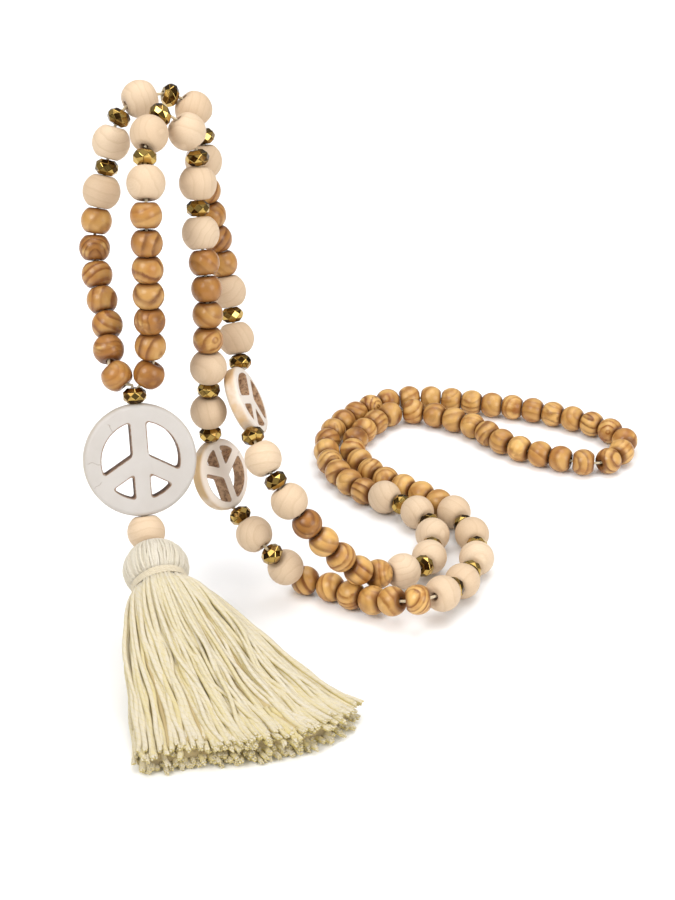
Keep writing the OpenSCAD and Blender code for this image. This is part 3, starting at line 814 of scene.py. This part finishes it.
def skirt_point(f, a, rho, inset, reach):
    """Point of the skirt: f from neck to tips, a in degrees and rho say where in its section.

    inset is how far a yarn's middle stays inside the surface, reach a factor on its length."""
    u0, u, v = skirt_section(f, a, rho, inset)
    start = head_at + NECK_TO * tassel_out
    p0 = start + NECK_D / 2 * (u[..., None] * head_side + v[..., None] * head_up)
    heading = np.radians(FAN_MID + FAN_ANGLE / 2 * u)
    far = SKIRT_L * np.interp(u, REACH_AT, REACH) * reach
    height = SKIRT_T / 2 * (1 - THIN_SIDES * u0 * u0) * (1 + v)
    tip = [start[0] + far * np.cos(heading), start[1] + far * np.sin(heading), FLOOR_Z + height]
    p3 = np.stack(tip, -1)
    aim = unit(p3 - p0)
    w = (STRAIGHT_MIDDLE + (1 - STRAIGHT_MIDDLE) * np.abs(u))[..., None]
    p1 = p0 + HANDLE * unit((1 - w) * tassel_out + w * aim + FLARE * u[..., None] * head_side)
    flat = p3 - p0
    flat[..., 2] = -TIP_DROP
    p2 = p3 - HANDLE * unit(flat)
    f = f[..., None]
    g = 1 - f
    return g**3 * p0 + 3 * g * g * f * p1 + 3 * g * f * f * p2 + f**3 * p3


# Yarns of the skirt: those that start at the neck, and short ones that the core hides until then
YARN_STEPS = 26
TIP_STEPS = 9
TIP_FROM = 0.76
YARN_SIDES = 8
YARN_R0 = 0.5 * MM
YARN_R1 = 0.74 * MM
YARN_SWELL = 0.8
YARN_WIDTHS = (0.88, 1.08)
YARN_PLACES = (-0.42, 0.42)
YARN_REACH = (0.95, 1.02)
YARN_SHARE = (0.93, 1.0)
YARN_DRIFT = (-4, 4)
YARN_SWAY = 0.45 * MM
DRIFT_POWER = 1.5
SINK_TO = 0.4
RISE_SHARE = 0.7
ARC_RATE = 1.05
WAVE_COUNT = 4
WAVE_START = 2.2
# Yarns that fill the fan's two thin sides, as angles in degrees
SIDE_YARNS = (-6, -3.2, 2, 4.6, 174, 177.2, 182, 185.4)
# Under the binding the yarns stand out over the solid, and their starts run up under it
NECK_BULGE = 1.2 * MM
BULGE_AT = (0, 0.05, 0.25)
BULGE_SHARE = (0.75, 1, 0)
NECK_TUCK = 0.4 * MM
# Rows of yarns, from the surface inwards: their share of the section, the most they sink at the
# neck, a factor on their length, their tones from and to, and the share that the core hides.
# The deeper rows' darker tones are painted shade between the yarns.
SKIRT_ROWS = (
    dict(share=1.0, count=86, extra=SIDE_YARNS, sink=0.35 * MM, reach=0.99, tones=(0.0, 0.2), hidden=0),
    dict(share=0.92, count=86, extra=SIDE_YARNS, sink=0.9 * MM, reach=1.0, tones=(0.15, 0.5), hidden=0),
    dict(share=0.72, count=66, extra=(), sink=0.9 * MM, reach=1.01, tones=(0.3, 0.8), hidden=TIP_FROM),
    dict(share=0.44, count=42, extra=(), sink=0.9 * MM, reach=1.01, tones=(0.3, 0.8), hidden=TIP_FROM),
)
# Yarns that lie loosely on top, turned aside at their tips by drift degrees either way
LOOSE = {
    "count": 16,
    "across": (-0.35, 0.75),
    "rise": 0.97,
    "drift": (5, 16),
    "reach": (0.9, 1.0),
    "sway": 0.6 * MM,
    "lift": 1.0 * MM,
    "width": 0.95,
    "tones": (0.0, 0.25),
}
# Cut ends: short blunt plies, each from a little way back in its yarn
TUFT = {
    "plies": 4,
    "sides": 5,
    "length": 1.1 * MM,
    "root": 0.8 * MM,
    "off": 0.38,
    "reach": (0.35, 1),
    "splay": (0.02, 0.2),
    "width": (0.5, 0.6),
    "taper": (1, 1, 1, 0.96, 0.72),
    "tones": (0.0, 0.2),
}


def waves(count, steps, size):
    """Smooth random sideways wander of count lines, none at their start."""
    f = np.linspace(0, 1, steps)[None, :]
    total = np.zeros((count, steps))
    for k in range(1, WAVE_COUNT + 1):
        phase = rng.uniform(0, 2 * math.pi, (count, 1))
        total += rng.normal(0, 1, (count, 1)) * np.sin(2 * math.pi * k * f + phase) / k
    return total * size * np.minimum(1, WAVE_START * f)


def neck_bulge(f):
    """How far the yarns stand out over the skirt's solid just under the binding."""
    return NECK_BULGE * np.interp(f, BULGE_AT, BULGE_SHARE)


def yarns(a, rho, reach, drift, sway, sink=0.0, lift=0.0, start=0.0):
    """Centres and radii of yarns that start round the neck at a and rho.

    drift turns a yarn's tip aside, sway is how far it wanders, sink pushes its start inwards,
    lift raises its middle, and start is the share of its length that the core hides."""
    count = len(a)
    steps = TIP_STEPS if start else YARN_STEPS
    f = np.broadcast_to(np.linspace(start, 1, steps), (count, steps))
    radius = (YARN_R0 + (YARN_R1 - YARN_R0) * f**YARN_SWELL) * rng.uniform(*YARN_WIDTHS, (count, 1))
    angle = a[:, None] + drift * f**DRIFT_POWER
    deep = radius + sink * np.maximum(0, 1 - f / SINK_TO) - neck_bulge(f)
    centres = skirt_point(f, angle, rho[:, None], deep, reach[:, None])
    if not start:
        centres[:, 0] -= NECK_TUCK * tassel_out
    side, up = beside(unit(np.gradient(centres, axis=1)))
    centres = centres + side * waves(count, steps, sway)[..., None]
    arc = lift * np.sin(math.pi * np.minimum(1, ARC_RATE * f))
    rise = waves(count, steps, RISE_SHARE * sway) + arc
    centres = centres + up * rise[..., None]
    centres[..., 2] = np.maximum(centres[..., 2], FLOOR_Z + radius)
    return centres, radius


def section_angle(across, rise):
    """Angle and rho that give a place in the skirt's section at its tips."""
    rho = (np.abs(across) ** FLAT_POWER + np.abs(rise) ** FLAT_POWER) ** (1 / FLAT_POWER)
    even = across / rho
    return np.where(rise >= 0, 90 * (1 - even), 90 * (3 + even)), rho


def tufts(centres, radii):
    """Short blunt plies at the cut end of each yarn."""
    end, width = centres[:, -1], radii[:, -1:]
    tangent = unit(end - centres[:, -3])
    side, up = beside(tangent)
    taper = np.array([TUFT["taper"]])
    t = np.linspace(0, 1, taper.size)[None, :, None]
    rows, widths = [], []
    turn = rng.uniform(0, 2 * math.pi, len(end))
    for k in range(TUFT["plies"]):
        a = 2 * math.pi * k / TUFT["plies"] + turn
        out = np.cos(a)[:, None] * side + np.sin(a)[:, None] * up
        reach = rng.uniform(*TUFT["reach"], (len(end), 1)) * TUFT["length"]
        splay = rng.uniform(*TUFT["splay"], (len(end), 1))
        thick = width * rng.uniform(*TUFT["width"], (len(end), 1)) * taper
        base = end - tangent * TUFT["root"] + out * width * TUFT["off"]
        ahead = tangent[:, None] * (TUFT["root"] + reach[:, None]) * t
        line = base[:, None] + ahead + out[:, None] * (splay * reach)[:, None] * t * t
        line[..., 2] = np.maximum(line[..., 2], FLOOR_Z + thick)
        rows.append(line)
        widths.append(thick)
    return np.concatenate(rows), np.concatenate(widths)


def with_cut_ends(centres, radii, tones, width=1.0):
    """Batch of yarns, their radii changed by the factor width, and the batch of their cut ends."""
    own = rng.uniform(*tones, len(centres))
    ends, end_radii = tufts(centres, radii)
    end_tones = rng.uniform(*TUFT["tones"], len(ends))
    return [(centres, radii * width, YARN_SIDES, own), (ends, end_radii, TUFT["sides"], end_tones)]


def row_batches(row):
    """One row of yarns, evenly round the neck with a little chance."""
    count = row["count"]
    a = (np.arange(count) + rng.uniform(*YARN_PLACES, count)) * 360 / count
    a = np.concatenate([a, row["extra"]])
    count = len(a)
    reach = row["reach"] * rng.uniform(*YARN_REACH, count)
    share = row["share"] * rng.uniform(*YARN_SHARE, count)
    drift = rng.uniform(*YARN_DRIFT, (count, 1))
    sink = rng.uniform(0, row["sink"], (count, 1))
    centres, radii = yarns(a % 360, share, reach, drift, YARN_SWAY, sink, start=row["hidden"])
    return with_cut_ends(centres, radii, row["tones"])


def loose_batches():
    """A few yarns that lie loosely over the others."""
    count = LOOSE["count"]
    across = rng.uniform(*LOOSE["across"], count)
    a, rho = section_angle(across, np.full(count, LOOSE["rise"]))
    drift = rng.choice([-1, 1], (count, 1)) * rng.uniform(*LOOSE["drift"], (count, 1))
    reach = rng.uniform(*LOOSE["reach"], count)
    centres, radii = yarns(a, rho, reach, drift, LOOSE["sway"], lift=LOOSE["lift"])
    return with_cut_ends(centres, radii, LOOSE["tones"], LOOSE["width"])


def skirt_batches():
    """All yarns of the skirt, row by row, and the loose ones on top."""
    batches = []
    for row in SKIRT_ROWS:
        batches += row_batches(row)
    return batches + loose_batches()


# Threads of the head, in two rows from the surface inwards: how far they are sunk, their width at
# the widest place, and their tones from and to. They start near the top and end under the binding.
HEAD_ROWS = (
    dict(count=108, sunk=0.32 * MM, width=0.37 * MM, tones=(0, 0.4)),
    dict(count=80, sunk=0.6 * MM, width=0.37 * MM, tones=(0.1, 0.6)),
)
HEAD_STEPS = 20
HEAD_SIDES = 6
HEAD_INSET = 0.15 * MM
HEAD_UNDER = 0.5 * MM
HEAD_CROWDING = 1.15
HEAD_TIP_R = 0.8 * MM
HEAD_WIDTHS = (0.85, 1.12)
HEAD_PLACES = (-0.35, 0.35)
HEAD_LEAN = 0.12
HEAD_LEANING = 0.09
HEAD_SWAY = 0.016
HEAD_SINK = 0.12 * MM
NARROWEST = 0.35
NARROWING = 0.8


def head_batches():
    """Threads of the head, laid over its dome from the top to the binding."""
    f = np.linspace(0, 1, HEAD_STEPS)[None, :]
    s = -HEAD_TOP + HEAD_INSET + (NECK_FROM + HEAD_TOP + HEAD_UNDER) * f**HEAD_CROWDING
    radius = np.maximum(smooth_between(s, head_s, head_r), HEAD_TIP_R)
    wide = np.minimum(1, NARROWEST + NARROWING * radius / (HEAD_D / 2))
    batches = []
    for row in HEAD_ROWS:
        count = row["count"]
        thick = row["width"] * wide * rng.uniform(*HEAD_WIDTHS, (count, 1))
        start = (np.arange(count) + rng.uniform(*HEAD_PLACES, count)) * 2 * math.pi / count
        lean = rng.normal(0.0, HEAD_LEANING, (count, 1)) + HEAD_LEAN
        a = start[:, None] + lean * f + waves(count, HEAD_STEPS, HEAD_SWAY)
        r = radius - row["sunk"] - rng.uniform(0, HEAD_SINK, (count, 1))
        batches.append((head_point(s, r, a), thick, HEAD_SIDES, rng.uniform(*row["tones"], count)))
    return batches


# Cores: closed forms under the outer yarns and threads, striped lengthwise as those are
# The skirt core's tone darkens it further: painted shade between the yarns.
SKIRT_CORE = dict(rows=26, sides=120, rho=0.84, bulge=0.8, reach=0.965, stripes=43, tone=0.55)
HEAD_CORE = dict(rows=22, sides=48, inset=0.5 * MM, top=0.4 * MM, stripes=30, tone=0.4)
HEAD_CORE_TOP_R = 0.2 * MM
HEAD_CORE_LEAST_R = 0.4 * MM
HEAD_CORE_BEYOND = 2 * MM


def core_piece(name, points, stripe, way, tone, material):
    """Closed piece from rows of points, with a flat end at each side."""
    rows, sides = points.shape[:2]
    faces = ring_quads(rows, sides)[:, [0, 3, 2, 1]].tolist()
    faces.append(list(range(sides)))
    faces.append(list(range(rows * sides - 1, (rows - 1) * sides - 1, -1)))
    ply = np.stack([np.cos(stripe), np.sin(stripe), way / MM], 2).reshape(-1, 3)
    values = {"ply": ply, "tone": np.full(len(ply), tone)}
    obj = new_mesh(name, points.reshape(-1, 3), faces, values)
    dress(obj, material, "tassel")


def skirt_core(material):
    """Packed yarns under the skirt's outer ones."""
    own = SKIRT_CORE
    f = np.linspace(0, 1, own["rows"])[:, None] * np.ones(own["sides"])
    a = np.linspace(0, 360, own["sides"], endpoint=False) * np.ones((own["rows"], 1))
    points = skirt_point(f, a, own["rho"], -own["bulge"] * neck_bulge(f), own["reach"])
    stripe = np.radians(a) * own["stripes"]
    core_piece("skirt_core", points, stripe, f * SKIRT_L, own["tone"], material)


def head_core(material):
    """Packed threads under the head's outer ones."""
    own = HEAD_CORE
    s = np.linspace(-HEAD_TOP + own["top"], NECK_TO + HEAD_CORE_BEYOND, own["rows"])
    r = np.maximum(smooth_between(s, head_s, head_r) - own["inset"], HEAD_CORE_LEAST_R)
    r[0] = HEAD_CORE_TOP_R
    a = np.linspace(0, 2 * math.pi, own["sides"], endpoint=False) * np.ones((own["rows"], 1))
    s = s[:, None] * np.ones(own["sides"])
    points = head_point(s, r[:, None], a)
    core_piece("head_core", points, a * own["stripes"], s, own["tone"], material)


# Binding: turns of thread round the neck, a little uneven in height and radius
BINDING_TURNS = 4
BINDING_STEPS = 66 * BINDING_TURNS
BINDING_SIDES = 8
BINDING_START = 0.6
BINDING_PACKING = 0.97
BINDING_TONE = 0.2
UNEVEN_HEIGHT = 0.06 * MM
UNEVEN_RADIUS = 0.05 * MM


def binding_batches():
    """Thread wound round the neck."""
    f = np.linspace(0, 1, BINDING_STEPS)
    a = 2 * math.pi * BINDING_TURNS * f + BINDING_START
    start = NECK_FROM + GAP + BINDING_T / 2
    s = start + (BINDING_W - BINDING_T) * f + UNEVEN_HEIGHT * np.sin(3.1 * a)
    r = NECK_D / 2 + GAP + BINDING_T / 2 + UNEVEN_RADIUS * np.sin(1.7 * a + 1)
    radii = np.full((1, BINDING_STEPS), BINDING_T / 2 * BINDING_PACKING)
    return [(head_point(s, r, a)[None], radii, BINDING_SIDES, [BINDING_TONE])]


cotton = yarn_material("cotton yarn", COTTON)
core_cotton_in_painted_shade = yarn_material("core yarn in painted shade", CORE_COTTON_IN_PAINTED_SHADE)
head_cotton = yarn_material("head thread", HEAD_COTTON)
binding_cotton = yarn_material("binding thread", BINDING_COTTON)
yarn_piece("tassel_skirt", skirt_batches(), cotton, "tassel")
yarn_piece("tassel_head", head_batches(), head_cotton, "tassel")
head_core(head_cotton)
skirt_core(core_cotton_in_painted_shade)
yarn_piece("neck_binding", binding_batches(), binding_cotton, "tassel_binding")


# String: the thread that all beads are on
STRING_D = 0.8 * MM
STRING_STEP = 0.7 * MM
STRING_SIDES = 8
STRING_TONE = 0.3


def thread_rings():
    """Middles of the rings of the thread's solid, from one end to the other."""
    points, triangles = welded("thread")
    near = [set() for _ in points]
    for t in triangles:
        for i in range(3):
            near[t[i]].update((int(t[(i + 1) % 3]), int(t[(i + 2) % 3])))

    def fronts(start):
        """Corners reached from a start, step by step."""
        now, seen, found = {start}, {start}, []
        while now:
            found.append(now)
            now = set(j for i in now for j in near[i]) - seen
            seen |= now
        return found

    tip = min(fronts(0)[-1])
    return np.array([points[sorted(ring)].mean(0) for ring in fronts(tip)])


def resampled(line, step):
    """The same line with points at an even distance."""
    way = way_along(line)
    at = np.linspace(0, way[-1], int(way[-1] / step))
    return np.stack([np.interp(at, way, line[:, k]) for k in range(3)], 1)


def string_batches():
    """The string as one twisted tube along the middle of its solid."""
    line = resampled(thread_rings(), STRING_STEP)
    return [(line[None], np.full((1, len(line)), STRING_D / 2), STRING_SIDES, [STRING_TONE])]


yarn_piece("string", string_batches(), yarn_material("string", STRING_COTTON), "thread")


# Floor, light and camera
FLOOR_HALF = 9.0
FLOOR_GAP = 0.1 * MM
FLOOR_COLOUR = (0.93, 0.93, 0.93, 1)
FLOOR_ROUGHNESS = 0.9
LIGHT_AIM = (0.04, 0, -0.08)
# Lights: name, place, width in metres and power in watts
LIGHTS = (
    ("key", (-0.85, -0.95, 1.15), 1.0, 18),
    ("top", (0.2, 0.25, 1.5), 1.3, 14),
    ("fill", (1.1, -0.9, 0.55), 0.9, 11),
)
# Light from all round: how high its two ends are, 0 to 1, and their colours
SKY = ((0.05, (0.24, 0.24, 0.245, 1)), (0.8, (0.66, 0.66, 0.67, 1)))
CAMERA_AT = (0.045, -0.46, 0.147)
CAMERA_TILT = 62
CAMERA_LENS = 72
CAMERA_SENSOR = 36
CAMERA_NEAR = 10 * MM


def floor():
    """Plain pale floor, just under what lies on it."""
    z = FLOOR_Z - FLOOR_GAP
    corners = [(x * FLOOR_HALF, y * FLOOR_HALF, z) for x, y in ((-1, -1), (1, -1), (1, 1), (-1, 1))]
    obj = new_mesh("floor", corners, [[0, 1, 2, 3]], {})
    material = bpy.data.materials.new("pale floor")
    material.use_nodes = True
    surface = material.node_tree.nodes["Principled BSDF"]
    surface.inputs["Base Color"].default_value = FLOOR_COLOUR
    surface.inputs["Roughness"].default_value = FLOOR_ROUGHNESS
    obj.data.materials.append(material)


def area_light(name, place, width, power):
    """Round soft light that looks at the middle of the necklace."""
    data = bpy.data.lights.new(name, "AREA")
    data.shape = "DISK"
    data.size = width
    data.energy = power
    obj = bpy.data.objects.new(name, data)
    obj.location = place
    obj.rotation_euler = (Vector(LIGHT_AIM) - Vector(place)).to_track_quat("-Z", "Y").to_euler()
    bpy.context.scene.collection.objects.link(obj)


def sky():
    """Soft light from all round, brighter overhead."""
    world = bpy.data.worlds.new("studio")
    bpy.context.scene.world = world
    world.use_nodes = True
    tree = world.node_tree
    coord = tree.nodes.new("ShaderNodeTexCoord")
    split = tree.nodes.new("ShaderNodeSeparateXYZ")
    ramp = tree.nodes.new("ShaderNodeValToRGB")
    for element, (height, colour) in zip(ramp.color_ramp.elements, SKY):
        element.color = colour
        element.position = height
    tree.links.new(coord.outputs["Generated"], split.inputs[0])
    tree.links.new(split.outputs[2], ramp.inputs[0])
    tree.links.new(ramp.outputs[0], tree.nodes["Background"].inputs["Color"])


def camera():
    """Camera at the photograph's viewing angle."""
    data = bpy.data.cameras.new("camera")
    data.lens = CAMERA_LENS
    data.sensor_width = CAMERA_SENSOR
    data.clip_start = CAMERA_NEAR
    obj = bpy.data.objects.new("camera", data)
    obj.location = CAMERA_AT
    obj.rotation_euler = (math.radians(CAMERA_TILT), 0, 0)
    bpy.context.scene.collection.objects.link(obj)
    bpy.context.scene.camera = obj


floor()
sky()
for name, place, width, power in LIGHTS:
    area_light(name, place, width, power)
camera()
bpy.context.scene.view_settings.view_transform = "Standard"
